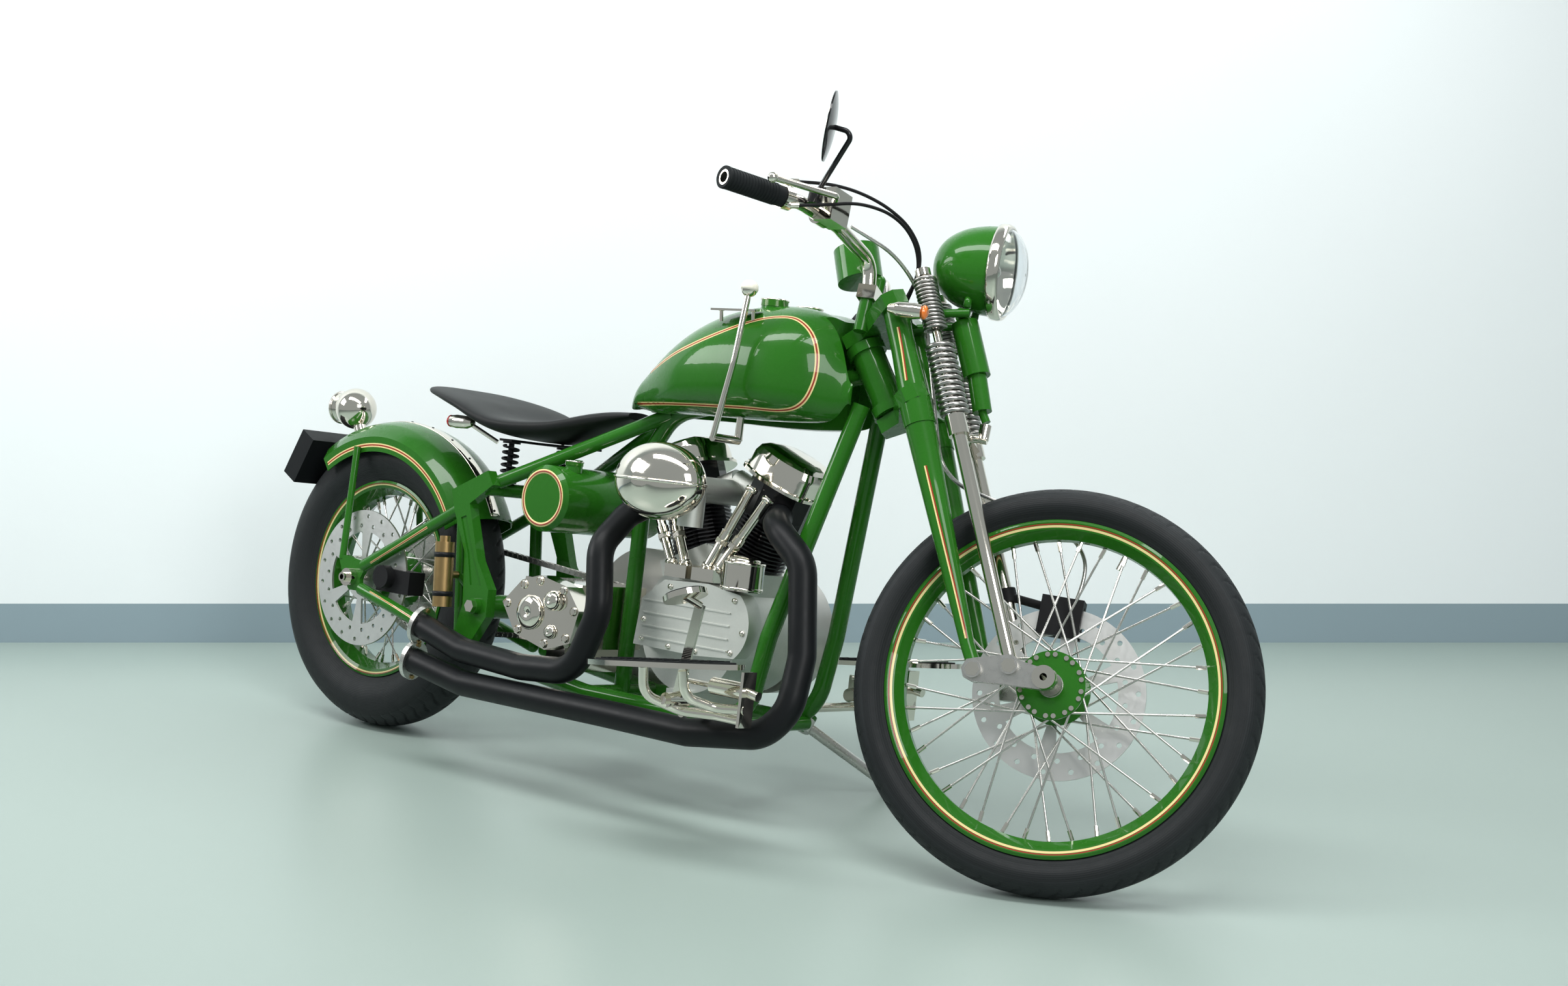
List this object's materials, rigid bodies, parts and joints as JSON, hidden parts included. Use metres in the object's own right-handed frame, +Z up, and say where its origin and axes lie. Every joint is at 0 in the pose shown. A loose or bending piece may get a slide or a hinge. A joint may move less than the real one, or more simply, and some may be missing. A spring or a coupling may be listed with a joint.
{
  "type": "chopper motorcycle",
  "caption": "Green springer-fork chopper motorcycle with a V-twin engine, sprung saddle and low pipes, parked on its side stand with the bars turned left",
  "frame": {"origin": "centre of the bounding box on the ground", "axes": "+X forward along the machine, +Y to its left, +Z up"},
  "size_m": [2.2937, 0.8419, 1.3035],
  "materials": {
    "green_paint": "gloss",
    "black_metal": "satin",
    "chrome": "polished",
    "aluminium": "satin",
    "black_iron": "satin",
    "steel": "brushed",
    "brass": "polished",
    "leather": "satin",
    "rubber": "matte",
    "tyre": "matte",
    "glass": "gloss"
  },
  "bodies": {
    "chassis": {"air_cleaner": "chrome", "brass_canister": "brass", "cam_cover": "aluminium", "carburettor": "aluminium", "crankcase": "aluminium", "cylinders": "black_iron", "drive_chain": "steel", "exhaust_pipes": "black_metal", "frame": "green_paint", "fuel_tank": "green_paint", "gearbox": "chrome", "hand_shifter": "chrome", "left_footboard": "chrome", "oil_tank": "green_paint", "plate_box": "black_metal", "primary_cover": "chrome", "pushrod_tubes": "chrome", "rear_axle": "chrome", "rear_caliper": "black_metal", "rear_fender": "green_paint", "rear_indicators": "chrome", "right_footboard": "chrome", "rocker_covers": "chrome", "saddle": "leather", "saddle_mount": "black_metal", "swingarm": "green_paint", "tail_lamp": "chrome"},
    "steering": {"fork_legs": "green_paint", "spring_fork": "chrome", "fork_springs": "chrome", "fork_damper": "green_paint", "fork_rockers": "chrome", "front_axle": "chrome", "headlamp": "green_paint", "headlamp_lens": "glass", "handlebar": "chrome", "grips": "rubber", "mirror": "chrome", "instrument": "green_paint", "front_indicators": "chrome", "front_caliper": "black_metal", "hand_controls": "chrome", "control_cables": "rubber", "brake_hose": "steel"},
    "front_wheel": {"front_tyre": "tyre", "front_rim": "green_paint", "front_hub": "green_paint", "front_disc": "steel"},
    "rear_wheel": {"rear_tyre": "tyre", "rear_rim": "green_paint", "rear_hub": "green_paint", "rear_disc": "steel", "rear_sprocket": "steel"},
    "side_stand": {"side_stand": "steel"}
  },
  "joints": [
    {"name": "steering_turn", "type": "hinge", "parent": "chassis", "child": "steering", "pos_m": [0.77196, -0.03939, 0.28771], "axis": [-0.5543, 0.146, 0.8194], "range_deg": [-47.4, 0]},
    {"name": "front_wheel_spin", "type": "hinge", "parent": "steering", "child": "front_wheel", "pos_m": [0.82454, -0.00594, 0.31733], "axis": [-0.3345, 0.8624, -0.3799], "continuous": true},
    {"name": "rear_wheel_spin", "type": "hinge", "parent": "chassis", "child": "rear_wheel", "pos_m": [-0.82629, -0.0342, 0.31684], "axis": [0, 0.9845, -0.1754], "continuous": true},
    {"name": "side_stand_fold", "type": "hinge", "parent": "chassis", "child": "side_stand", "pos_m": [0.23683, 0.07682, 0.1418], "axis": [0.0464, 0.6886, 0.7237], "range_deg": [0, 110]}
  ]
}
